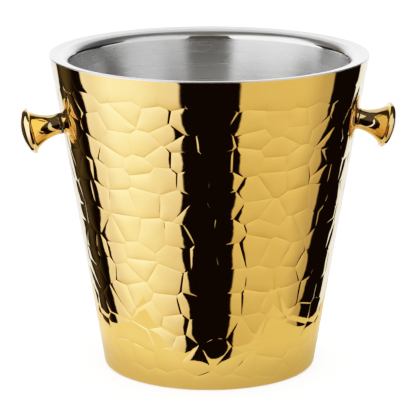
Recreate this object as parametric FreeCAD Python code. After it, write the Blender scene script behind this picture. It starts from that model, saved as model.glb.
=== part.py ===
import FreeCAD, Part
import math
import os

# Double-walled ice bucket with two knob handles.  Millimetres and degrees, +Z up.
# The origin is the middle of the foot, on the table, and the knobs stand on the X axis.

# Outer shell: one straight cone of sheet, rolled inwards at the foot
overall_height = 219.5
rim_diameter = 220.0
foot_diameter = 147.2           # where the wall's outer line meets the table
shell_sheet = 0.8
foot_bend = 2.8                 # outside radius of the rolled foot
foot_flange = 5.0               # flat ring that the bucket stands on

# Liner: a drawn cup that hangs from its own flange
liner_sheet = 0.8
flange_width = 7.4              # from the rim's edge to the mouth bend
flange_slope = 8.0              # the flange falls inwards, so drips run back in
mouth_bend = 7.3                # radius of the polished bend at the mouth
rim_edge_bend = 0.5             # small radius on the rim's outer corner
hem_drop = 0.1                  # how far the turned edge hangs below the flange
floor_height = 14.0             # inside floor above the table
floor_bend = 15.0

# Base plate: a pressed disc that lies on the foot flange inside the shell
base_sheet = 0.8
panel_rise = 2.5                # the middle panel stands clear of the table
panel_step = 4.0                # width of the sloping step round the panel
panel_margin = 2.0              # flat ring between the foot flange and the step
press_bend = 2.0

# Beads of sealant that bond the liner and the base plate to the shell
rim_bead = 3.0
base_bead = 2.5

# Knobs: turned, one on each side
knob_below_rim = 47.9           # where the knob's axis meets the outside of the wall
knob_droop = 13.5               # the axis points this far below level
knob_reach = 21.0               # from the wall to the sharp edge of the knob's head
knob_head_diameter = 32.2
knob_head_edge = 0.7
knob_dome_height = 7.3
knob_shoulder = 4.2             # radius where the dome turns down to the head's edge
knob_neck_diameter = 14.6
knob_foot_diameter = 15.6       # small collar where the neck meets its gasket
knob_foot_width = 1.4
knob_flare = 4.0                # radius of the last flare under the head
knob_throat_diameter = 25.8     # where the long sweep of the neck meets that flare
knob_throat_depth = 1.7         # distance of the throat below the underside of the head

# Knob fastening
screw_diameter = 6.0
screw_head_diameter = 10.0
screw_head_height = 3.5
screw_engagement = 10.0         # length of thread inside the knob
screw_hole_spare = 2.0          # blind hole beyond the screw's end
drive_width = 1.2               # cross recess in the screw head
drive_length = 5.2
drive_depth = 2.0
gasket_thickness = 0.44         # at its thinnest place: it is a wedge between the wall and the collar
gasket_diameter = 14.4
saddle_diameter = 16.0
saddle_thickness = 1.5
lock_washer_diameter = 10.4
lock_washer_thickness = 1.5
lock_washer_split = 0.8

# Clearances
thread_clearance = 0.02         # radial, screw in the knob's thread
washer_clearance = 0.15         # radial, screw in the washers
hole_clearance = 0.25           # radial, screw in the wall and the gasket

AXIS = FreeCAD.Vector(0, 0, 1)
CENTRE = FreeCAD.Vector(0, 0, 0)
SIDES = {"right": 0, "left": 180}

rim_radius = rim_diameter / 2
foot_radius = foot_diameter / 2
taper = math.atan2(rim_radius - foot_radius, overall_height)
slope = math.radians(flange_slope)
droop = math.radians(knob_droop)

# Where the knob's collar stands off the wall, along the knob's axis
gasket_seat = gasket_thickness + knob_foot_diameter / 2 * math.tan(abs(droop - taper))

# The liner's turned edge covers the top of the shell's wall, which ends where the edge ends.
shell_across = shell_sheet / math.cos(taper)
hem_height = liner_sheet / math.cos(slope) + shell_across * math.tan(slope) + hem_drop
shell_top = overall_height - hem_height


def wall_radius(z, inset=0.0):
    """Radius of the shell's outer line at height z, or of a line set in from it by inset."""
    return foot_radius + z * math.tan(taper) - inset / math.cos(taper)


def flange_height(radius, inset=0.0):
    """Height of the flange's upper line at a radius, or of a line set below it by inset."""
    return overall_height - (rim_radius - radius) * math.tan(slope) - inset / math.cos(slope)


def point(flat):
    """A point (radius, height) of a section as a vector in the XZ plane."""
    return FreeCAD.Vector(flat[0], 0, flat[1])


def direction(start, end):
    """Unit vector from start to end."""
    length = math.hypot(end[0] - start[0], end[1] - start[1])
    return ((end[0] - start[0]) / length, (end[1] - start[1]) / length)


def bent_line(corners, bends):
    """Edges of a line through corners, with each inner corner rounded to its own radius."""
    edges = []
    here = point(corners[0])
    for index, bend in enumerate(bends, start=1):
        corner = corners[index]
        into = direction(corners[index - 1], corner)
        out = direction(corner, corners[index + 1])
        turn = math.acos(max(-1.0, min(1.0, into[0] * out[0] + into[1] * out[1])))
        setback = bend * math.tan(turn / 2)
        start = (corner[0] - setback * into[0], corner[1] - setback * into[1])
        end = (corner[0] + setback * out[0], corner[1] + setback * out[1])
        edges.append(Part.LineSegment(here, point(start)).toShape())
        here = point(start)
        if bend > 0:
            inward = direction(corner, ((start[0] + end[0]) / 2, (start[1] + end[1]) / 2))
            depth = bend / math.cos(turn / 2) - bend
            middle = (corner[0] + depth * inward[0], corner[1] + depth * inward[1])
            edges.append(Part.Arc(here, point(middle), point(end)).toShape())
            here = point(end)
    edges.append(Part.LineSegment(here, point(corners[-1])).toShape())
    return edges


def sheet_section(corners, bends, thickness):
    """Section of a sheet whose face follows corners, with the metal on the left of the line.

    Its ends are cut level on a rising run, and upright on a level one.
    """
    normals = []
    for start, end in zip(corners, corners[1:]):
        along = direction(start, end)
        normals.append((-along[1], along[0]))

    def end_point(corner, normal):
        if abs(normal[0]) > abs(normal[1]):
            return (corner[0] + thickness / normal[0], corner[1])
        return (corner[0], corner[1] + thickness / normal[1])

    back = [end_point(corners[0], normals[0])]
    back_bends = []
    for corner, bend, before, after in zip(corners[1:], bends, normals, normals[1:]):
        share = thickness / (1 + before[0] * after[0] + before[1] * after[1])
        back.append((corner[0] + share * (before[0] + after[0]),
                     corner[1] + share * (before[1] + after[1])))
        turns_left = before[0] * after[1] - before[1] * after[0] > 0
        back_bends.append(max(bend - thickness, 0.0) if turns_left else bend + thickness)
    back.append(end_point(corners[-1], normals[-1]))

    edges = bent_line(corners, bends) + bent_line(back, back_bends)
    edges.append(Part.LineSegment(point(corners[0]), point(back[0])).toShape())
    edges.append(Part.LineSegment(point(corners[-1]), point(back[-1])).toShape())
    return Part.Face(Part.Wire(Part.__sortEdges__(edges)))


def spin(face):
    """Solid of revolution of a section about the Z axis."""
    return face.revolve(CENTRE, AXIS, 360)


def polygon(*corners):
    """Flat face through corners of a section."""
    return Part.Face(Part.makePolygon([point(corner) for corner in corners + corners[:1]]))


def tube(outer, inner, low, high):
    """Upright ring between two radii and two heights."""
    ring = Part.makeCylinder(outer, high - low, FreeCAD.Vector(0, 0, low))
    return ring.cut(Part.makeCylinder(inner, high - low, FreeCAD.Vector(0, 0, low)))


def on_side(shape, side):
    """Put a fastening piece on its side: its local Z runs out along the knob's axis."""
    height = overall_height - knob_below_rim
    placed = shape.copy()
    placed.rotate(CENTRE, FreeCAD.Vector(0, 1, 0), 90 + knob_droop)
    placed.translate(FreeCAD.Vector(wall_radius(height), 0, height))
    placed.rotate(CENTRE, AXIS, SIDES[side])
    return placed


def shell_core(inset):
    """Everything inside the shell's wall line, set in by inset."""
    return spin(polygon((0, 0), (wall_radius(0, inset), 0),
                        (wall_radius(overall_height, inset), overall_height),
                        (0, overall_height)))


def outer_shell():
    foot_inner = wall_radius(0) - foot_bend - foot_flange
    shell = spin(sheet_section(
        [(foot_inner, 0), (wall_radius(0), 0), (wall_radius(shell_top), shell_top)],
        [foot_bend], shell_sheet))
    for side in SIDES:
        reach = 2 * (shell_sheet + gasket_seat)
        hole = Part.makeCylinder(screw_diameter / 2 + hole_clearance, 2 * reach,
                                 FreeCAD.Vector(0, 0, -reach))
        shell = shell.cut(on_side(hole, side))
    return shell


def mouth_corner():
    """Where the flange's line meets the liner's wall line, before the bend."""
    turn = math.pi / 2 - slope - taper
    radius = rim_radius - flange_width - mouth_bend * math.tan(turn / 2) * math.cos(slope)
    return (radius, flange_height(radius))


def liner():
    mouth = mouth_corner()
    floor_radius = mouth[0] - (mouth[1] - floor_height) * math.tan(taper)
    return spin(sheet_section(
        [(wall_radius(shell_top), shell_top), (rim_radius, overall_height), mouth,
         (floor_radius, floor_height), (0, floor_height)],
        [rim_edge_bend, mouth_bend, floor_bend], liner_sheet))


def base_plate():
    edge = wall_radius(foot_bend, foot_bend)
    step = edge - foot_flange - panel_margin
    return spin(sheet_section(
        [(0, shell_sheet + panel_rise), (step - panel_step, shell_sheet + panel_rise),
         (step, shell_sheet), (edge, shell_sheet)],
        [press_bend, press_bend], base_sheet))


def rim_bond():
    """Bead in the corner under the liner's flange, against the inside of the shell."""
    corner = wall_radius(shell_top, shell_sheet)
    return spin(polygon(
        (corner, shell_top), (corner, flange_height(corner, liner_sheet)),
        (corner - rim_bead, flange_height(corner - rim_bead, liner_sheet)),
        (wall_radius(shell_top - rim_bead, shell_sheet), shell_top - rim_bead)))


def base_bond(shell, plate):
    """Bead round the base plate's edge, in the corner of the rolled foot."""
    edge = wall_radius(foot_bend, foot_bend)
    top = shell_sheet + base_sheet + base_bead
    bead = spin(polygon(
        (edge - base_bead / 2, shell_sheet + base_sheet), (edge, shell_sheet),
        (wall_radius(0), 0), (wall_radius(top), top), (wall_radius(top, shell_sheet), top)))
    pieces = bead.cut(shell).cut(plate).Solids
    return max(pieces, key=lambda piece: piece.Volume)


def arc(start, middle, end):
    return Part.Arc(point(start), point(middle), point(end)).toShape()


def line(start, end):
    return Part.LineSegment(point(start), point(end)).toShape()


def knob():
    """Turned knob: collar, waisted neck, flared underside, sharp edge and low dome."""
    neck = knob_neck_diameter / 2
    head = knob_head_diameter / 2
    collar = (knob_foot_diameter / 2, gasket_seat + knob_foot_width)
    waist = (neck, collar[1])
    under = (head, knob_reach - knob_head_edge)
    edge = (head, knob_reach)
    throat = (knob_throat_diameter / 2, under[1] - knob_throat_depth)
    crown = (0, knob_reach + knob_dome_height)

    # The neck's sweep leaves the collar parallel to the axis and ends at the throat.
    rise = throat[1] - waist[1]
    sweep = (rise ** 2 + (throat[0] - neck) ** 2) / (2 * (throat[0] - neck))
    half_turn = math.asin(rise / sweep) / 2
    sweep_middle = (neck + sweep * (1 - math.cos(half_turn)), waist[1] + sweep * math.sin(half_turn))

    # The flare bows towards the axis between the throat and the head's edge.
    chord = direction(throat, under)
    half_chord = math.hypot(under[0] - throat[0], under[1] - throat[1]) / 2
    bow = knob_flare - math.sqrt(knob_flare ** 2 - half_chord ** 2)
    flare_middle = (throat[0] + half_chord * chord[0] - bow * chord[1],
                    throat[1] + half_chord * chord[1] + bow * chord[0])

    # The dome is a wide arc over the axis that meets the shoulder's arc without a corner.
    inset = head - knob_shoulder
    dome = ((inset ** 2 + knob_dome_height ** 2 - knob_shoulder ** 2)
            / (2 * (knob_dome_height - knob_shoulder)))
    lean = math.asin(inset / (dome - knob_shoulder))

    def on_shoulder(tilt):
        return (inset + knob_shoulder * math.sin(tilt), knob_reach + knob_shoulder * math.cos(tilt))

    dome_middle = (dome * math.sin(lean / 2), crown[1] - dome * (1 - math.cos(lean / 2)))

    section = Part.Wire([
        line((0, gasket_seat), (collar[0], gasket_seat)),
        line((collar[0], gasket_seat), collar),
        line(collar, waist),
        arc(waist, sweep_middle, throat),
        arc(throat, flare_middle, under),
        line(under, edge),
        arc(edge, on_shoulder((lean + math.pi / 2) / 2), on_shoulder(lean)),
        arc(on_shoulder(lean), dome_middle, crown),
        line(crown, (0, gasket_seat))])
    thread = Part.makeCylinder(screw_diameter / 2 + thread_clearance,
                               screw_engagement + screw_hole_spare,
                               FreeCAD.Vector(0, 0, gasket_seat))
    return spin(Part.Face(section)).cut(thread)


def fastening(side, outside, inside):
    """The gasket, saddle, lock washer and screw of one knob, in their places."""
    hole = screw_diameter / 2 + hole_clearance
    washer_hole = screw_diameter / 2 + washer_clearance
    saddle_seat = -(shell_sheet + saddle_thickness)
    head_seat = saddle_seat - lock_washer_thickness

    gasket = tube(gasket_diameter / 2, hole, -2 * gasket_seat, gasket_seat)
    saddle = tube(saddle_diameter / 2, washer_hole, saddle_seat, 0)
    lock_washer = tube(lock_washer_diameter / 2, washer_hole, head_seat, saddle_seat).cut(
        Part.makeBox(lock_washer_diameter, lock_washer_split, lock_washer_thickness,
                     FreeCAD.Vector(0, -lock_washer_split / 2, head_seat)))

    screw = Part.makeCylinder(screw_head_diameter / 2, screw_head_height,
                              FreeCAD.Vector(0, 0, head_seat - screw_head_height))
    tip = gasket_seat + screw_engagement
    screw = screw.fuse(Part.makeCylinder(screw_diameter / 2, tip - head_seat,
                                         FreeCAD.Vector(0, 0, head_seat)))
    for length, width in ((drive_length, drive_width), (drive_width, drive_length)):
        screw = screw.cut(Part.makeBox(length, width, drive_depth, FreeCAD.Vector(
            -length / 2, -width / 2, head_seat - screw_head_height)))
    return {
        "gasket": on_side(gasket, side).cut(outside),
        "saddle": on_side(saddle, side).common(inside),
        "lock_washer": on_side(lock_washer, side),
        "screw": on_side(screw.removeSplitter(), side),
    }


shell = outer_shell()
plate = base_plate()
pieces = {
    "outer_shell": shell,
    "liner": liner(),
    "base_plate": plate,
    "rim_bond": rim_bond(),
    "base_bond": base_bond(shell, plate),
}
for side in SIDES:
    pieces[side + "_knob"] = on_side(knob(), side)
    for name, piece in fastening(side, shell_core(0), shell_core(shell_sheet)).items():
        pieces[side + "_knob_" + name] = piece

os.makedirs("parts", exist_ok=True)
for name, piece in pieces.items():
    piece.exportStep("parts/" + name + ".step")
    box = piece.BoundBox
    print(f"{name:24s} solids {len(piece.Solids)}  volume {piece.Volume:10.1f} mm3  valid {piece.isValid()}"
          f"  x {box.XMin:7.1f} {box.XMax:6.1f}  z {box.ZMin:6.1f} {box.ZMax:6.1f}")
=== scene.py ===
import bmesh
import bpy
import math
import random
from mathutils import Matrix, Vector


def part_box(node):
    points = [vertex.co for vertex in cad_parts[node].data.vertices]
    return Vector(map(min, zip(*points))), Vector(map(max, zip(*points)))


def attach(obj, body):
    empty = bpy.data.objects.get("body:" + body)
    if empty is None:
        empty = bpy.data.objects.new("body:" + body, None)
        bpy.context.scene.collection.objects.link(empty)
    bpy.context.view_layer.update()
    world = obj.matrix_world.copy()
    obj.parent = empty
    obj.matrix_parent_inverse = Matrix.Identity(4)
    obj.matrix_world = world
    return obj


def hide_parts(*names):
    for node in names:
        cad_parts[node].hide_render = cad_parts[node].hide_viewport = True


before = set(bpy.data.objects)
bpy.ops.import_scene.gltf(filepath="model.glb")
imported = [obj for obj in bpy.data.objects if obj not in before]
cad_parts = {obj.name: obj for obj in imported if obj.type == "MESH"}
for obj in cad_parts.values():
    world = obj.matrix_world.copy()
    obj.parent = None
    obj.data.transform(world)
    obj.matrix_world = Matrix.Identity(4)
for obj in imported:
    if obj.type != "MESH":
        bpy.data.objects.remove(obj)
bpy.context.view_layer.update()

# ---------------------------------------------------------------------------
# Camera: a long lens, some way off and a little above the rim. It stands where
# the left-hand knob is the nearer one.
# ---------------------------------------------------------------------------
bucket_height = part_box("liner")[1].z
camera_turn = math.radians(5.1)
camera_rise = math.radians(13.79)
camera_distance = 1.6414
lens = 203.96

camera_data = bpy.data.cameras.new("camera")
camera_data.sensor_width = 36.0
camera_data.lens = lens
camera_data.shift_x = -0.0032
camera_data.shift_y = -0.0012
camera = bpy.data.objects.new("camera", camera_data)
standoff = camera_distance * math.cos(camera_rise)
camera.location = (-standoff * math.sin(camera_turn), -standoff * math.cos(camera_turn),
                   bucket_height / 2 + camera_distance * math.sin(camera_rise))
camera.rotation_euler = (math.pi / 2 - camera_rise, 0, -camera_turn)
bpy.context.scene.collection.objects.link(camera)
bpy.context.scene.camera = camera

# A film-like tone curve: deep shadows, and highlights that roll off gently.
tone_curve = ((0.19, 0.13), (0.30, 0.235), (0.57, 0.47), (0.85, 0.68), (1.26, 0.88))
white_point = 2.0
view = bpy.context.scene.view_settings
view.view_transform = "Standard"
view.use_curve_mapping = True
view.curve_mapping.use_clip = False
view.curve_mapping.extend = "HORIZONTAL"
for tone in view.curve_mapping.curves[:3]:
    tone.points[0].location = (0.0, 0.0)
    tone.points[1].location = (white_point, 1.0)
    for light_in, light_out in tone_curve:
        tone.points.new(light_in, light_out)
view.curve_mapping.update()


# ---------------------------------------------------------------------------
# The studio: two tall soft panels left and right of the camera with a dark
# room between and above them, and a white sheet hung behind.
# ---------------------------------------------------------------------------
class Wire:
    """An output of a shader tree. Arithmetic on it adds Math nodes."""

    def __init__(self, tree, socket=None):
        self.tree = tree
        self.socket = socket

    def node(self, kind, settings=None, sockets=None, output=0):
        """A new node with its settings, then the values or links of its sockets."""
        made = self.tree.nodes.new(kind)
        for name, value in (settings or {}).items():
            setattr(made, name, value)
        for name, value in (sockets or {}).items():
            if isinstance(value, Wire):
                self.tree.links.new(value.socket, made.inputs[name])
            else:
                made.inputs[name].default_value = value
        return Wire(self.tree, made.outputs[output] if made.outputs else None)

    def math(self, operation, *values):
        return self.node("ShaderNodeMath", {"operation": operation}, dict(enumerate(values)))

    def step(self, low, high):
        """0 below low, 1 above high, smooth between them."""
        return self.node("ShaderNodeMapRange", {"interpolation_type": "SMOOTHSTEP"},
                         {"Value": self, "From Min": low, "From Max": high})

    def mix(self, first, second):
        """First colour where this wire is 0, second where it is 1."""
        return self.node("ShaderNodeMix", {"data_type": "RGBA"}, {0: self, 6: first, 7: second}, 2)

    def __add__(self, other):
        return self.math("ADD", self, other)

    def __radd__(self, other):
        return self.math("ADD", other, self)

    def __sub__(self, other):
        return self.math("SUBTRACT", self, other)

    def __rsub__(self, other):
        return self.math("SUBTRACT", other, self)

    def __mul__(self, other):
        return self.math("MULTIPLY", self, other)

    def __rmul__(self, other):
        return self.math("MULTIPLY", other, self)

    def __truediv__(self, other):
        return self.math("DIVIDE", self, other)


def degrees(value):
    return value * math.pi / 180


world = bpy.data.worlds.new("studio")
bpy.context.scene.world = world
world.use_nodes = True
world.node_tree.nodes.clear()
room = Wire(world.node_tree)
way = room.node("ShaderNodeTexCoord", output="Generated")
split = room.node("ShaderNodeSeparateXYZ", sockets={0: way}).socket.node
east, north, up = (Wire(room.tree, split.outputs[axis]) for axis in "XYZ")
ahead = east * -math.sin(camera_turn) + north * -math.cos(camera_turn)
right = east * math.cos(camera_turn) + north * -math.sin(camera_turn)
bearing = right.math("ARCTAN2", right, ahead)
off_axis = bearing.math("ABSOLUTE", bearing)
rise = up.math("ARCSINE", up)

panel_top = degrees(50)
sheet_top = degrees(78)
soft = degrees(1.2)
right_side = bearing.step(-0.1, 0.1)
overhead = rise.step(degrees(0), degrees(20))
panel_inner = degrees(23.5) - overhead * degrees(5.7)      # the dark gap narrows upwards
panel_outer = (degrees(110) - right_side * degrees(5)
               - overhead * (degrees(9) + right_side * degrees(17)))
sheet_edge = degrees(147) - right_side * degrees(4)
on_panel = (off_axis.step(panel_inner - soft, panel_inner + soft)
            * (1 - off_axis.step(panel_outer - soft, panel_outer + soft))
            * (1 - rise.step(panel_top - 2 * soft, panel_top + 2 * soft)))
on_sheet = (off_axis.step(sheet_edge - soft, sheet_edge + soft)
            * (1 - rise.step(sheet_top - 2 * soft, sheet_top)))

# The panels fade and turn warmer towards the floor. The left one is brightest at its middle.
level = rise.step(degrees(-52), degrees(-12))
above = rise.step(degrees(-14), degrees(2))
left_light = (0.80 + 0.26 * off_axis.step(degrees(20), degrees(66))) * (1 - 0.28 * off_axis.step(
    degrees(78), degrees(102)))
right_light = 1 - 0.36 * off_axis.step(degrees(72), degrees(102))
left_deep = (1.02, 0.86, 0.62, 1)
left_low = (2.00, 1.86, 2.20, 1)
left_high = (1.90, 1.90, 1.90, 1)
right_deep = (0.80, 0.64, 0.36, 1)
right_low = (1.24, 1.02, 0.74, 1)
right_high = (1.16, 1.16, 1.16, 1)
room_low = (0.009, 0.004, 0.002, 1)
room_high = (0.15, 0.128, 0.095, 1)
room_side = (0.05, 0.045, 0.04, 1)
corner_brown = (0.16, 0.11, 0.05, 1)
sheet_low = (1.30, 1.42, 1.75, 1)
sheet_middle = (1.64, 1.64, 1.63, 1)
sheet_high = (1.04, 1.04, 1.04, 1)
room_white = (3.2, 3.2, 3.2, 1)                             # what lights matt surfaces evenly


def dimmed(colour, share):
    return room.node("ShaderNodeVectorMath", {"operation": "SCALE"}, {"Vector": colour, "Scale": share})


low_panel = right_side.mix(dimmed(level.mix(left_deep, left_low), left_light),
                           dimmed(level.mix(right_deep, right_low), right_light))
panel = above.mix(low_panel, right_side.mix(left_high, right_high))
corner = ((1 - bearing.step(degrees(-134), degrees(-118))) * bearing.step(degrees(-147), degrees(-134))
          * rise.step(degrees(-36), degrees(-14)))
high_room = off_axis.step(degrees(60), degrees(110)).mix(room_high, room_side)
seen = corner.mix(overhead.mix(room_low, high_room), corner_brown)
seen = on_panel.mix(seen, panel)
white_sheet = rise.step(degrees(-16), degrees(4)).mix(sheet_low, sheet_middle)
white_sheet = rise.step(degrees(16), degrees(32)).mix(white_sheet, sheet_high)
seen = on_sheet.mix(seen, white_sheet)
plain = room.node("ShaderNodeLightPath", output="Is Glossy Ray").mix(room_white, seen)
light = room.node("ShaderNodeBackground", sockets={"Color": plain})
room.node("ShaderNodeOutputWorld", sockets={"Surface": light})

# A pale floor. What the bucket's polished sides show of it is a small warm card,
# dimmed where the bucket's foot shades it: the card glows in the floor's place as a
# painted reflection of the lit floor, with a painted shadow near the foot.
card_front = 0.108
card_side = 0.140
card_back = 0.6
# Painted light: the card's left half is painted brighter and paler and its right half dimmer and warmer,
# as the floor is lit more strongly by the left panel.
card_left = (1.24, 1.06, 0.84, 1)
card_right = (1.02, 0.86, 0.58, 1)
floor_reach = 4.0
floor_paint = bpy.data.materials.new("floor_paint")
floor_paint.use_nodes = True
floor_paint.node_tree.nodes["Principled BSDF"].inputs["Base Color"].default_value = (0.93, 0.93, 0.93, 1)
floor_paint.node_tree.nodes["Principled BSDF"].inputs["Roughness"].default_value = 0.8
card_paint = bpy.data.materials.new("card_paint")
card_paint.use_nodes = True
card_paint.node_tree.nodes.clear()
glow = Wire(card_paint.node_tree)
spot = glow.node("ShaderNodeTexCoord", output="Object")
reach = glow.node("ShaderNodeVectorMath", {"operation": "LENGTH"}, {"Vector": spot}, "Value")
side = glow.node("ShaderNodeSeparateXYZ", None, {0: spot}, "X")
# Painted shadow: the card's glow is weaker within about 0.07 to 0.125 m of the bucket's axis, where the
# foot would shade the floor.
glow.node("ShaderNodeOutputMaterial", None, {"Surface": glow.node("ShaderNodeEmission", None, {
    "Color": side.step(-0.06, 0.06).mix(card_left, card_right),
    "Strength": 0.76 + 0.36 * reach.step(0.070, 0.125)})})


def flat_piece(name, corners, faces, material):
    mesh = bpy.data.meshes.new(name)
    mesh.from_pydata(corners, [], faces)
    mesh.materials.append(material)
    piece = bpy.data.objects.new(name, mesh)
    bpy.context.scene.collection.objects.link(piece)
    return piece


def on_floor(across, away, height=0.0):
    """A point of the floor from its distances right of and behind the bucket."""
    return (across * math.cos(camera_turn) + away * math.sin(camera_turn),
            away * math.cos(camera_turn) - across * math.sin(camera_turn), height)


lift = -0.0002
card = flat_piece("card", [on_floor(across, away, lift) for across, away in
                           ((-card_side, -card_front), (card_side, -card_front),
                            (card_side, card_back), (-card_side, card_back))],
                  [(0, 1, 2, 3)], card_paint)
card.visible_camera = card.visible_diffuse = card.visible_shadow = False
floor = flat_piece("floor", [on_floor(x * floor_reach, y * floor_reach) for x, y in
                             ((-1, -1), (1, -1), (1, 1), (-1, 1))], [(0, 1, 2, 3)], floor_paint)
floor.visible_glossy = False


# ---------------------------------------------------------------------------
# Outer shell: a cone of gold-plated steel sheet, rolled in at the foot. Its
# wall is planished by hand: some four hundred hammered cushions meet in narrow
# creases, and a plain band is left at the top and at the foot.
# ---------------------------------------------------------------------------
rim_radius = 0.110
foot_radius = 0.0736
overall_height = 0.2195
sheet = 0.0008
foot_bend = 0.0028
foot_flange = 0.005
shell_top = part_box("outer_shell")[1].z
taper = math.atan2(rim_radius - foot_radius, overall_height)


def wall_radius(height, inset=0.0):
    """Radius of the wall's outer line at a height, or of a line set in from it."""
    return foot_radius + height * math.tan(taper) - inset / math.cos(taper)


mark_pitch = 0.0188
mark_row = 0.0160
mark_scatter = 0.42
cushion_top = 0.82
top_band = 0.0170
foot_band = 0.0105
wall_start = foot_bend * (1 - math.sin(taper))
dice = random.Random(41)


def hammer_blows():
    """(along, up, struck) of each cushion's middle on the wall, laid flat at the foot's radius."""
    blows = []
    marked_low, marked_high = foot_band + mark_row / 2, shell_top - top_band - mark_row / 2
    rows = round((marked_high - marked_low) / mark_row)
    pitch = (marked_high - marked_low) / rows
    for row in range(-1, rows + 2):
        height = marked_low + row * pitch
        struck = 0 <= row <= rows
        count = round(2 * math.pi * wall_radius(height) / mark_pitch)
        shift = dice.random()
        for mark in range(count):
            scatter = mark_scatter if struck else mark_scatter / 3
            along = (mark + shift + scatter * dice.uniform(-1, 1)) / count
            blows.append((along % 1.0 * 2 * math.pi * foot_radius,
                          height + scatter * pitch * dice.uniform(-1, 1), struck))
    return blows


def clipped(outline, middle, normal):
    """The part of a convex outline behind the line through middle across normal."""
    kept = []
    for here, there in zip(outline, outline[1:] + outline[:1]):
        side_here = (here[0] - middle[0]) * normal[0] + (here[1] - middle[1]) * normal[1]
        side_there = (there[0] - middle[0]) * normal[0] + (there[1] - middle[1]) * normal[1]
        if side_here <= 0:
            kept.append(here)
        if (side_here < 0) != (side_there < 0) and side_here != side_there:
            share = side_here / (side_here - side_there)
            kept.append((here[0] + share * (there[0] - here[0]), here[1] + share * (there[1] - here[1])))
    return kept


def cushion_mesh(blows):
    """One face for each cushion, bent round the cone, with its creases marked on the edges."""
    girth = 2 * math.pi * foot_radius
    reach = 3.2 * mark_pitch
    net = bmesh.new()
    cell = net.faces.layers.int.new("cell")
    for number, (along, up, struck) in enumerate(blows, start=1):
        outline = [(along - reach, wall_start), (along + reach, wall_start),
                   (along + reach, shell_top), (along - reach, shell_top)]
        for other_along, other_up, _ in blows:
            across = (other_along - along + girth / 2) % girth - girth / 2
            rise = other_up - up
            if (across or rise) and abs(across) < reach and abs(rise) < reach:
                outline = clipped(outline, (along + across / 2, up + rise / 2), (across, rise))
        centre = [sum(values) / len(outline) for values in zip(*outline)]
        rings = []
        for size in (1.0, cushion_top):
            rings.append([])
            for corner in outline:
                x, z = (middle + size * (value - middle) for value, middle in zip(corner, centre))
                radius = wall_radius(z)
                rings[-1].append(net.verts.new((radius * math.cos(x / foot_radius),
                                                radius * math.sin(x / foot_radius), z)))
        outer, inner = rings
        faces = [net.faces.new(inner)]
        for here in range(len(outline)):
            faces.append(net.faces.new([outer[here - 1], outer[here], inner[here], inner[here - 1]]))
        for face in faces:
            face[cell] = number if struck else -number
    bmesh.ops.remove_doubles(net, verts=net.verts, dist=0.0004)
    bmesh.ops.dissolve_degenerate(net, edges=net.edges, dist=0.0001)
    crease = net.edges.layers.float.new("crease")
    for edge in net.edges:
        sides = {face[cell] for face in edge.link_faces}
        edge[crease] = float(len(sides) == 2 and max(sides) > 0)
    mesh = bpy.data.meshes.new("hammered_wall")
    net.to_mesh(mesh)
    net.free()
    return mesh


def gold_plate(name, deep, pale, roughness, grain):
    """Bright gold plating: a mirror with faint polishing marks and a slow change of tone."""
    material = bpy.data.materials.new(name)
    material.use_nodes = True
    tree = material.node_tree
    tree.nodes.clear()
    wire = Wire(tree)
    place = wire.node("ShaderNodeTexCoord", output="Object")
    cloud = wire.node("ShaderNodeTexNoise", None, {"Vector": place, "Scale": 38.0, "Detail": 3.0})
    fine = wire.node("ShaderNodeTexNoise", None, {"Vector": place, "Scale": 900.0, "Detail": 2.0})
    haze = wire.node("ShaderNodeTexNoise", None, {"Vector": place, "Scale": 140.0, "Detail": 5.0})
    colour = cloud.step(0.3, 0.7).mix(deep, pale)
    rough = roughness + haze.step(0.45, 0.75) * (roughness * 0.7)
    bump = wire.node("ShaderNodeBump", None, {"Strength": 1.0, "Distance": 0.00001,
                                              "Height": fine * grain})
    surface = wire.node("ShaderNodeBsdfPrincipled", None, {
        "Base Color": colour, "Roughness": rough, "Metallic": 1.0, "Normal": bump})
    wire.node("ShaderNodeOutputMaterial", None, {"Surface": surface})
    return material


hammered_gold = gold_plate("hammered_gold", (0.85, 0.625, 0.235, 1), (0.87, 0.655, 0.265, 1), 0.035, 0.12)


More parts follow.
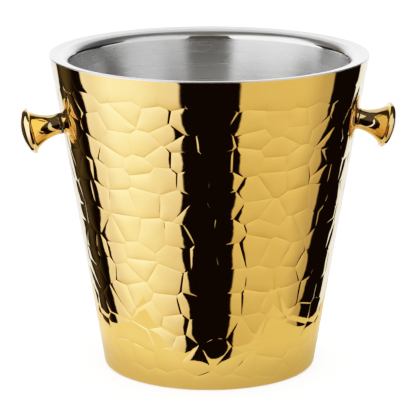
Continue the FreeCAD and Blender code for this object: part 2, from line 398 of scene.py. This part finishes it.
def hammering_tree():
    """Geometry Nodes: divides the cushions finely, then sinks the wall along their creases."""
    tree = bpy.data.node_groups.new("hammering", "GeometryNodeTree")
    tree.interface.new_socket("Geometry", in_out="INPUT", socket_type="NodeSocketGeometry")
    for name, kind, value in (("Foot radius", "Float", foot_radius), ("Taper", "Float", math.tan(taper)),
                              ("Crease depth", "Float", 0.0002), ("Crease width", "Float", 0.004),
                              ("Cut depth", "Float", 0.00005), ("Cut width", "Float", 0.001),
                              ("Waviness", "Float", 0.00016), ("Fineness", "Int", 2),
                              ("Evenness", "Float", 0.35)):
        made = tree.interface.new_socket(name, in_out="INPUT", socket_type="NodeSocket" + kind)
        made.default_value = value
    tree.interface.new_socket("Geometry", in_out="OUTPUT", socket_type="NodeSocketGeometry")
    wire = Wire(tree)
    given = tree.nodes.new("NodeGroupInput")
    foot, slope, depth, width, cut_depth, cut_width, waviness, fineness, evenness = (
        Wire(tree, given.outputs[name]) for name in (
            "Foot radius", "Taper", "Crease depth", "Crease width", "Cut depth", "Cut width",
            "Waviness", "Fineness", "Evenness"))

    def vector(operation, *values, output=0):
        return wire.node("ShaderNodeVectorMath", {"operation": operation},
                         dict(enumerate(values)), output)

    def scaled(value, factor):
        return wire.node("ShaderNodeVectorMath", {"operation": "SCALE"},
                         {"Vector": value, "Scale": factor})

    def flattened(value):
        return vector("MULTIPLY", value, (1, 1, 0))

    def on_cone(value, sunk=0.0):
        """The point of the cone level with a place, sunk below the surface by a depth."""
        height = vector("DOT_PRODUCT", value, (0, 0, 1), output=1)
        radius = foot + height * slope - sunk
        outward = vector("NORMALIZE", flattened(value))
        return vector("ADD", scaled(outward, radius), vector("MULTIPLY", value, (0, 0, 1)))

    divided = wire.node("GeometryNodeSubdivideMesh", None,
                        {"Mesh": Wire(tree, given.outputs["Geometry"]), "Level": fineness})
    place = wire.node("GeometryNodeInputPosition")
    round_wall = wire.node("GeometryNodeSetPosition", None,
                           {"Geometry": divided, "Position": on_cone(place)})
    crease = wire.node("GeometryNodeInputNamedAttribute", {"data_type": "FLOAT"}, {"Name": "crease"})
    on_crease = crease.math("GREATER_THAN", crease, 0.9)
    creases = wire.node("GeometryNodeSeparateGeometry", {"domain": "EDGE"},
                        {"Geometry": round_wall, "Selection": on_crease})
    nearest = wire.node("GeometryNodeProximity", {"target_element": "EDGES"}, {0: creases})
    distance = Wire(tree, nearest.socket.node.outputs["Distance"])
    # Points close to a crease are drawn in towards it, so that the crease stays narrow.
    drawn = 0.7 + 0.3 * distance.step(0.0, width * 1.8)
    moved = vector("ADD", nearest, scaled(vector("SUBTRACT", place, nearest), drawn))
    away = distance * drawn
    patchy = wire.node("ShaderNodeTexNoise", None, {"Vector": nearest, "Scale": 55.0, "Detail": 1.0})
    strength = evenness + (1 - evenness) * patchy.step(0.38, 0.62)
    slow = wire.node("ShaderNodeTexNoise", None, {"Vector": place, "Scale": 30.0, "Detail": 1.0})
    fall = away.math("MAXIMUM", 1 - away / width, 0.0)
    cut = away.math("MAXIMUM", 1 - away / cut_width, 0.0)
    sunk = (depth * fall * fall + cut_depth * cut * cut) * strength + (slow - 0.5) * waviness
    hammered = wire.node("GeometryNodeSetPosition", None,
                         {"Geometry": round_wall, "Position": on_cone(moved, sunk)})
    crisp = wire.node("GeometryNodeSetShadeSmooth", {"domain": "EDGE"},
                      {"Geometry": hammered, "Selection": on_crease, "Shade Smooth": False})
    real = wire.node("GeometryNodeRealizeInstances", None, {"Geometry": crisp})
    plated = wire.node("GeometryNodeSetMaterial", None, {"Geometry": real, "Material": hammered_gold})
    wire.node("NodeGroupOutput", None, {0: plated})
    return tree


def set_inputs(modifier, values):
    for item in modifier.node_group.interface.items_tree:
        if item.in_out == "INPUT" and item.name in values:
            modifier[item.identifier] = values[item.name]


def plain_mesh(piece):
    """The evaluated shape of a piece as a mesh of its own."""
    seen_by = bpy.context.evaluated_depsgraph_get()
    seen_by.update()
    return bpy.data.meshes.new_from_object(piece.evaluated_get(seen_by))


wall = bpy.data.objects.new("hammered_shell", cushion_mesh(hammer_blows()))
bpy.context.scene.collection.objects.link(wall)
hammering = wall.modifiers.new("hammering", "NODES")
hammering.node_group = hammering_tree()
set_inputs(hammering, {"Crease depth": 0.00038, "Crease width": 0.0056, "Cut depth": 0.00004,
                       "Cut width": 0.0011, "Fineness": 2})
hammered_mesh = plain_mesh(wall)
wall.modifiers.remove(hammering)
wall.data = hammered_mesh


def arc_points(middle, radius, start, end, steps):
    """Points of an arc in the plane of radius and height, its first point left out."""
    return [(middle[0] + radius * math.cos(start + (end - start) * step / steps),
             middle[1] + radius * math.sin(start + (end - start) * step / steps))
            for step in range(1, steps + 1)]


def closed_shell(mesh):
    """Rolls the foot inwards, turns the sheet's edges and closes its back."""
    net = bmesh.new()
    net.from_mesh(mesh)
    rims = [edge for edge in net.edges if edge.is_boundary]
    foot_edges = [edge for edge in rims if edge.verts[0].co.z < overall_height / 2]
    top_edges = [edge for edge in rims if edge.verts[0].co.z > overall_height / 2]
    across = sheet / math.cos(taper)
    middle = (wall_radius(foot_bend, foot_bend), foot_bend)
    inner_bend = foot_bend - sheet
    ring = foot_radius - foot_bend - foot_flange
    foot_path = arc_points(middle, foot_bend, -taper, -math.pi / 2, 8)
    foot_path += [(ring, 0.0), (ring, sheet), (middle[0], sheet)]
    foot_path += arc_points(middle, inner_bend, -math.pi / 2, -taper, 6)
    top_path = [(wall_radius(shell_top) - across, shell_top)]
    for edges, path in ((foot_edges, foot_path), (top_edges, top_path)):
        for radius, height in path:
            for edge in edges:
                edge.smooth = radius not in (ring, path[-1][0])
            made = bmesh.ops.extrude_edge_only(net, edges=edges)["geom"]
            edges[:] = [part for part in made if isinstance(part, bmesh.types.BMEdge)]
            for vert in {vert for edge in edges for vert in edge.verts}:
                turn = math.atan2(vert.co.y, vert.co.x)
                vert.co = (radius * math.cos(turn), radius * math.sin(turn), height)
            edges[:] = [edge for edge in edges if edge.is_boundary]
    bmesh.ops.bridge_loops(net, edges=foot_edges + top_edges)
    for face in net.faces:
        face.smooth = True
    bmesh.ops.recalc_face_normals(net, faces=net.faces)
    net.to_mesh(mesh)
    net.free()


closed_shell(hammered_mesh)
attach(wall, "root")
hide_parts("outer_shell")


# ---------------------------------------------------------------------------
# Liner: a cup drawn from stainless sheet, hung in the shell by its own sloping
# flange. The flange is satin, the bend at the mouth is buffed to a mirror, and
# the wall and floor keep the fine rings of the brushing wheel.
# ---------------------------------------------------------------------------
flange_width = 0.0074
flange_slope = math.radians(8)
mouth_bend = 0.0073
floor_height = 0.014
floor_bend = 0.015
rim_edge_bend = 0.0005


def heading(start, end):
    length = math.hypot(end[0] - start[0], end[1] - start[1])
    return (end[0] - start[0]) / length, (end[1] - start[1]) / length


def rounded(corners, bends, finest=0.05):
    """A line through corners with its inner corners rounded, in steps of a few degrees."""
    line = [corners[0]]
    for before, corner, after, bend in zip(corners, corners[1:], corners[2:], bends):
        into, out = heading(before, corner), heading(corner, after)
        turn = math.atan2(into[0] * out[1] - into[1] * out[0], into[0] * out[0] + into[1] * out[1])
        setback = bend * math.tan(abs(turn) / 2)
        start = (corner[0] - setback * into[0], corner[1] - setback * into[1])
        side = math.copysign(1, turn)
        middle = (start[0] - side * bend * into[1], start[1] + side * bend * into[0])
        first = math.atan2(start[1] - middle[1], start[0] - middle[0])
        steps = max(2, math.ceil(abs(turn) / finest))
        line.append(start)
        line += arc_points(middle, bend, first, first + turn, steps)
    return line + [corners[-1]]


def sheet_outline(corners, bends, thickness):
    """A closed outline of bent sheet: the line through corners, and its back at a thickness."""
    sides = [(-dy, dx) for dx, dy in (heading(*run) for run in zip(corners, corners[1:]))]

    def end_point(corner, side):
        if abs(side[0]) > abs(side[1]):
            return (corner[0] + thickness / side[0], corner[1])
        return (corner[0], corner[1] + thickness / side[1])

    back = [end_point(corners[0], sides[0])]
    back_bends = []
    for corner, bend, one, other in zip(corners[1:], bends, sides, sides[1:]):
        share = thickness / (1 + one[0] * other[0] + one[1] * other[1])
        back.append((corner[0] + share * (one[0] + other[0]), corner[1] + share * (one[1] + other[1])))
        turns_left = one[0] * other[1] - one[1] * other[0] > 0
        back_bends.append(max(bend - thickness, 0.00001) if turns_left else bend + thickness)
    back.append(end_point(corners[-1], sides[-1]))
    return rounded(corners, bends) + rounded(back, back_bends)[::-1]


def turned(name, outline, around, materials, finish=None, sharp=30):
    """A solid of revolution about Z from an outline of (radius, height), closed on the axis or round."""
    net = bmesh.new()
    rings = []
    for radius, height in outline:
        if radius < 1e-7:
            rings.append([net.verts.new((0, 0, height))] * around)
            continue
        turns = [2 * math.pi * step / around for step in range(around)]
        rings.append([net.verts.new((radius * math.cos(turn), radius * math.sin(turn), height))
                      for turn in turns])
    pairs = list(zip(range(len(outline)), list(range(1, len(outline))) + [0]))
    for one, other in pairs:
        if outline[one][0] < 1e-7 and outline[other][0] < 1e-7:
            continue
        middle = [(a + b) / 2 for a, b in zip(outline[one], outline[other])]
        for step in range(around):
            after = (step + 1) % around
            corners = [rings[one][step], rings[one][after], rings[other][after], rings[other][step]]
            face = net.faces.new(list(dict.fromkeys(corners)))
            face.smooth = True
            face.material_index = finish(*middle) if finish else 0
    bmesh.ops.recalc_face_normals(net, faces=net.faces)
    mesh = bpy.data.meshes.new(name)
    net.to_mesh(mesh)
    net.free()
    for material in materials:
        mesh.materials.append(material)
    mesh.set_sharp_from_angle(angle=math.radians(sharp))
    piece = bpy.data.objects.new(name, mesh)
    bpy.context.scene.collection.objects.link(piece)
    return piece


def steel(name, colour, roughness, anisotropy, rings, cloudy):
    """Stainless sheet: fine rings left by the wheel, and the faint cloud of a wiped surface."""
    material = bpy.data.materials.new(name)
    material.use_nodes = True
    tree = material.node_tree
    tree.nodes.clear()
    wire = Wire(tree)
    place = wire.node("ShaderNodeTexCoord", output="Object")
    parts = wire.node("ShaderNodeSeparateXYZ", None, {0: place}).socket.node
    x, y, z = (Wire(tree, parts.outputs[axis]) for axis in "XYZ")
    radius = x.math("SQRT", x * x + y * y)
    across = wire.node("ShaderNodeCombineXYZ", None, {"X": radius, "Y": z})
    lines = wire.node("ShaderNodeTexNoise", None, {"Vector": across, "Scale": 3800.0, "Detail": 4.0})
    broad = wire.node("ShaderNodeTexNoise", None, {"Vector": across, "Scale": 420.0, "Detail": 3.0})
    cloud = wire.node("ShaderNodeTexNoise", None, {"Vector": place, "Scale": 26.0, "Detail": 4.0})
    dark = tuple(0.88 * part for part in colour[:3]) + (1,)
    tone = (lines * 0.5 + broad * 0.5).step(0.3, 0.7).mix(dark, colour)
    rough = roughness + (broad - 0.5) * (rings * roughness) + cloud.step(0.4, 0.75) * cloudy
    bump = wire.node("ShaderNodeBump", None, {"Strength": 1.0, "Distance": 0.00002,
                                              "Height": lines * rings})
    surface = wire.node("ShaderNodeBsdfPrincipled", None, {
        "Base Color": tone, "Roughness": rough, "Metallic": 1.0, "Normal": bump,
        "Anisotropic": anisotropy, "Anisotropic Rotation": 0.25})
    wire.node("ShaderNodeOutputMaterial", None, {"Surface": surface})
    return material


satin_steel = steel("satin_steel", (0.76, 0.76, 0.76, 1), 0.30, 0.0, 0.5, 0.05)
buffed_steel = steel("buffed_steel", (0.74, 0.74, 0.74, 1), 0.045, 0.0, 0.1, 0.02)
brushed_steel = steel("brushed_steel", (0.68, 0.68, 0.68, 1), 0.25, 0.85, 0.8, 0.06)

flange_turn = math.pi / 2 - flange_slope - taper
mouth_radius = (rim_radius - flange_width
                - mouth_bend * math.tan(flange_turn / 2) * math.cos(flange_slope))
mouth = (mouth_radius, overall_height - (rim_radius - mouth_radius) * math.tan(flange_slope))
bend_starts = rim_radius - flange_width
bend_ends = mouth[1] - mouth_bend * math.tan(flange_turn / 2) * math.cos(taper)
floor_corner = (mouth[0] - (mouth[1] - floor_height) * math.tan(taper), floor_height)


def liner_finish(radius, height):
    """0: satin flange and hidden back. 1: buffed bend. 2: brushed wall and floor."""
    inner = radius < mouth[0] + (height - mouth[1]) * math.tan(taper) + sheet / 4
    if height > bend_ends - 1e-6:
        return 1 if radius < bend_starts + 1e-6 and (height > mouth[1] - sheet / 2 or inner) else 0
    return 2 if inner else 0


liner = turned("steel_cup", sheet_outline(
    [(wall_radius(shell_top), shell_top), (rim_radius, overall_height), mouth, floor_corner,
     (0, floor_height)],
    [rim_edge_bend, mouth_bend, floor_bend], sheet), 384,
    [satin_steel, buffed_steel, brushed_steel], liner_finish)
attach(liner, "root")
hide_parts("liner")


# ---------------------------------------------------------------------------
# Base plate: a pressed steel disc bonded on the rolled foot. Its middle panel
# stands clear of the table.
# ---------------------------------------------------------------------------
panel_rise = 0.0025
panel_step = 0.004
panel_margin = 0.002
press_bend = 0.002
plate_edge = wall_radius(foot_bend, foot_bend)
plate_step = plate_edge - foot_flange - panel_margin
plate = turned("pressed_base", sheet_outline(
    [(0, sheet + panel_rise), (plate_step - panel_step, sheet + panel_rise), (plate_step, sheet),
     (plate_edge, sheet)], [press_bend, press_bend], sheet), 256, [satin_steel])
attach(plate, "root")
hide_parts("base_plate")


# ---------------------------------------------------------------------------
# Knobs: turned in brass and plated, with a waisted neck, a flared head with a
# sharp edge, and a low dome. Each is screwed on from inside before the liner
# goes in.
# ---------------------------------------------------------------------------
knob_height = overall_height - 0.0479
knob_droop = math.radians(13.5)
knob_reach = 0.021
head_radius = 0.0161
head_edge = 0.0007
dome_height = 0.0073
shoulder = 0.0042
neck_radius = 0.0073
collar_radius = 0.0078
collar_width = 0.0014
gasket = 0.001
flare_radius = 0.004
throat_radius = 0.0129
throat_depth = 0.0017
bore_radius = 0.00302
bore_end = gasket + 0.012
worn_edge = 0.00018

knob_gold = gold_plate("knob_gold", (0.84, 0.635, 0.33, 1), (0.86, 0.66, 0.36, 1), 0.05, 0.10)


def swept(start, end, radius, bulge, steps):
    """Points of an arc from start to end, start left out, bowed to the left of the way if bulge is 1."""
    along = heading(start, end)
    half = math.hypot(end[0] - start[0], end[1] - start[1]) / 2
    depth = math.sqrt(max(radius ** 2 - half ** 2, 0.0))
    middle = ((start[0] + end[0]) / 2 + bulge * depth * along[1],
              (start[1] + end[1]) / 2 - bulge * depth * along[0])
    first = math.atan2(start[1] - middle[1], start[0] - middle[0])
    return arc_points(middle, radius, first, first - bulge * 2 * math.asin(half / radius), steps)


def knob_outline():
    """The knob's outline from its screw hole round to the middle of its dome."""
    under = (head_radius, knob_reach - head_edge)
    edge = (head_radius, knob_reach)
    waist = (neck_radius, gasket + collar_width)
    throat = (throat_radius, under[1] - throat_depth)
    rise, run = throat[1] - waist[1], throat[0] - waist[0]
    sweep = (rise ** 2 + run ** 2) / (2 * run)
    inset = head_radius - shoulder
    dome = (inset ** 2 + dome_height ** 2 - shoulder ** 2) / (2 * (dome_height - shoulder))
    lean = math.pi / 2 - math.asin(inset / (dome - shoulder))
    outline = [(0, bore_end), (bore_radius, bore_end), (bore_radius, gasket),
               (collar_radius - worn_edge, gasket), (collar_radius, gasket + worn_edge),
               (collar_radius, waist[1] - worn_edge), (collar_radius - worn_edge, waist[1]), waist]
    outline += swept(waist, throat, sweep, 1, 22)
    outline += swept(throat, (under[0] - worn_edge, under[1]), flare_radius, 1, 8)
    outline += [(under[0], under[1] + worn_edge), edge]
    outline += arc_points((inset, edge[1]), shoulder, 0, lean, 12)
    outline += arc_points((0, edge[1] + dome_height - dome), dome, lean, math.pi / 2, 16)
    return outline


for side, turn in (("right", 0), ("left", math.pi)):
    knob = turned(f"{side}_turned_knob", knob_outline(), 128, [knob_gold])
    place = (Matrix.Rotation(turn, 4, "Z")
             @ Matrix.Translation((wall_radius(knob_height), 0, knob_height))
             @ Matrix.Rotation(math.pi / 2 + knob_droop, 4, "Y"))
    knob.data.transform(place)
    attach(knob, "root")
    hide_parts(f"{side}_knob")


# ---------------------------------------------------------------------------
# Knob fastenings: a rubber gasket outside the wall, and inside it a saddle, a
# split washer and a cross-head screw, all bright zinc. Only the gasket's edge
# shows, as a thin dark line: the gasket is near-black as rubber, and its black is
# also painted shade for the gap under the knob's collar.
# ---------------------------------------------------------------------------
def plain_finish(name, colour, shade, roughness, metallic, scale, relief, shine=0.5):
    """A finish with a slow change of tone and a fine grain: rubber, zinc or sealant."""
    material = bpy.data.materials.new(name)
    material.use_nodes = True
    tree = material.node_tree
    tree.nodes.clear()
    wire = Wire(tree)
    place = wire.node("ShaderNodeTexCoord", output="Object")
    grain = wire.node("ShaderNodeTexNoise", None, {"Vector": place, "Scale": scale, "Detail": 4.0})
    blotch = wire.node("ShaderNodeTexNoise", None, {"Vector": place, "Scale": scale / 12, "Detail": 2.0})
    bump = wire.node("ShaderNodeBump", None, {"Strength": 1.0, "Distance": relief, "Height": grain})
    surface = wire.node("ShaderNodeBsdfPrincipled", None, {
        "Base Color": blotch.step(0.35, 0.65).mix(colour, shade),
        "Roughness": roughness + (grain - 0.5) * 0.2, "Metallic": metallic, "Normal": bump,
        "Specular IOR Level": shine})
    wire.node("ShaderNodeOutputMaterial", None, {"Surface": surface})
    return material


def finish_node(node, material):
    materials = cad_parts[node].data.materials
    materials.clear()
    materials.append(material)


# Near-black: the rubber's own colour, and also painted shade for the gap where the knob meets the wall.
black_rubber_and_gap_shade = plain_finish("moulded_rubber_and_painted_gap_shade", (0.012, 0.012, 0.012, 1), (0.020, 0.019, 0.018, 1),
                            0.62, 0.0, 2600.0, 0.00002, 0.12)
bright_zinc = plain_finish("bright_zinc", (0.66, 0.68, 0.71, 1), (0.58, 0.60, 0.64, 1),
                           0.28, 1.0, 1500.0, 0.00001)
for side in ("right", "left"):
    finish_node(f"{side}_knob_gasket", black_rubber_and_gap_shade)
    for fastener in ("saddle", "lock_washer", "screw"):
        finish_node(f"{side}_knob_{fastener}", bright_zinc)


# ---------------------------------------------------------------------------
# Bonds: beads of grey sealant, run round under the flange and round the edge of
# the base plate, and smoothed with a finger.
# ---------------------------------------------------------------------------
sealant = plain_finish("grey_sealant", (0.27, 0.28, 0.29, 1), (0.32, 0.33, 0.33, 1),
                       0.45, 0.0, 700.0, 0.00006)
for bead in ("rim_bond", "base_bond"):
    finish_node(bead, sealant)
